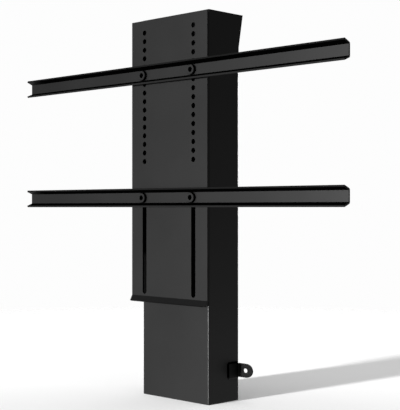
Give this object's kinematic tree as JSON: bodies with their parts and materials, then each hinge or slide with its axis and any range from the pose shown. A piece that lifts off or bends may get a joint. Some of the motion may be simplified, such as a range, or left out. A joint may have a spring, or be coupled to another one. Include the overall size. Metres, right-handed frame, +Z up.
{
  "type": "tv lift mechanism",
  "caption": "Floor-standing motorised lift column for a television, with a drilled mounting plate and two horizontal rails on a telescoping mast.",
  "frame": {"origin": "centre of the column's footprint, on the floor", "axes": "+Z up along the lift's travel, -Y towards the television, +X to the right seen from the front"},
  "size_m": [0.765, 0.1147, 0.6638],
  "materials": {
    "black_powder_coat": "fine satin powder coat",
    "black_fasteners": "black oxide",
    "bright_fasteners": "zinc plated",
    "galvanised_sheet": "galvanised",
    "machined_steel": "turned",
    "bronze": "turned bronze",
    "die_cast_metal": "as cast",
    "magnet_ferrite": "sintered",
    "black_plastic": "moulded",
    "board_green": "solder mask",
    "black_rubber": "moulded rubber"
  },
  "bodies": {
    "column": {"base_plate": "black_powder_coat", "column_shell": "black_powder_coat", "column_collar": "black_plastic", "stop_bumpers": "black_rubber", "upper_guide_pads": "black_plastic", "service_cover": "black_powder_coat", "service_cover_screws": "black_fasteners", "wall_bracket_left": "black_powder_coat", "wall_bracket_right": "black_powder_coat", "bracket_welds": "black_powder_coat", "cable_grommet": "black_rubber", "gearbox_housing": "die_cast_metal", "gearbox_cover": "die_cast_metal", "gearbox_screws": "bright_fasteners", "spindle_bearings": "machined_steel", "motor_can": "machined_steel", "motor_screws": "bright_fasteners", "motor_end_cap": "black_plastic", "motor_magnets": "magnet_ferrite", "switch_strip": "galvanised_sheet", "strip_screws": "bright_fasteners", "limit_switches": "black_plastic", "control_box": "black_plastic", "control_box_lid": "black_plastic", "control_board": "board_green", "control_box_screw": "bright_fasteners"},
    "spindle": {"spindle": "machined_steel", "spindle_gear": "machined_steel", "spindle_stop_collar": "machined_steel"},
    "motor_shaft": {"motor_rotor": "machined_steel", "motor_pinion": "machined_steel"},
    "carriage": {"mast_tube": "galvanised_sheet", "mast_head": "galvanised_sheet", "lower_guide_pads": "black_plastic", "nut_plate": "galvanised_sheet", "drive_nut": "bronze", "drive_nut_screws": "bright_fasteners", "hood": "black_powder_coat", "hood_screws": "black_fasteners", "mounting_plate": "black_powder_coat", "side_stiffener_left": "black_powder_coat", "side_stiffener_right": "black_powder_coat", "plate_spacer": "galvanised_sheet", "spacer_screws": "bright_fasteners", "upper_rail": "black_powder_coat", "upper_rail_bolts": "black_fasteners", "upper_rail_washers": "bright_fasteners", "upper_rail_nuts": "bright_fasteners"},
    "lower_rail": {"lower_rail": "black_powder_coat", "lower_rail_bolts": "black_fasteners", "lower_rail_washers": "bright_fasteners", "lower_rail_nuts": "bright_fasteners"}
  },
  "joints": [
    {"name": "lift", "type": "slide", "parent": "column", "child": "carriage", "axis": [0, 0, 1], "range_m": [0, 0.4]},
    {"name": "spindle_turn", "type": "hinge", "parent": "column", "child": "spindle", "pos_m": [0, 0, 0.3], "axis": [0, 0, 1], "range_deg": [-24100, 100]},
    {"name": "motor_turn", "type": "hinge", "parent": "column", "child": "motor_shaft", "pos_m": [-0.028, 0, 0.06], "axis": [0, 0, 1], "range_deg": [-300, 72300]},
    {"name": "lower_rail_height", "type": "slide", "parent": "carriage", "child": "lower_rail", "axis": [0, 0, 1], "range_m": [-0.153, 0]}
  ],
  "couplings": [
    {"joint": "spindle_turn", "follows": "lift", "rad_per_m": -1047.2},
    {"joint": "motor_turn", "follows": "lift", "rad_per_m": 3141.6}
  ]
}
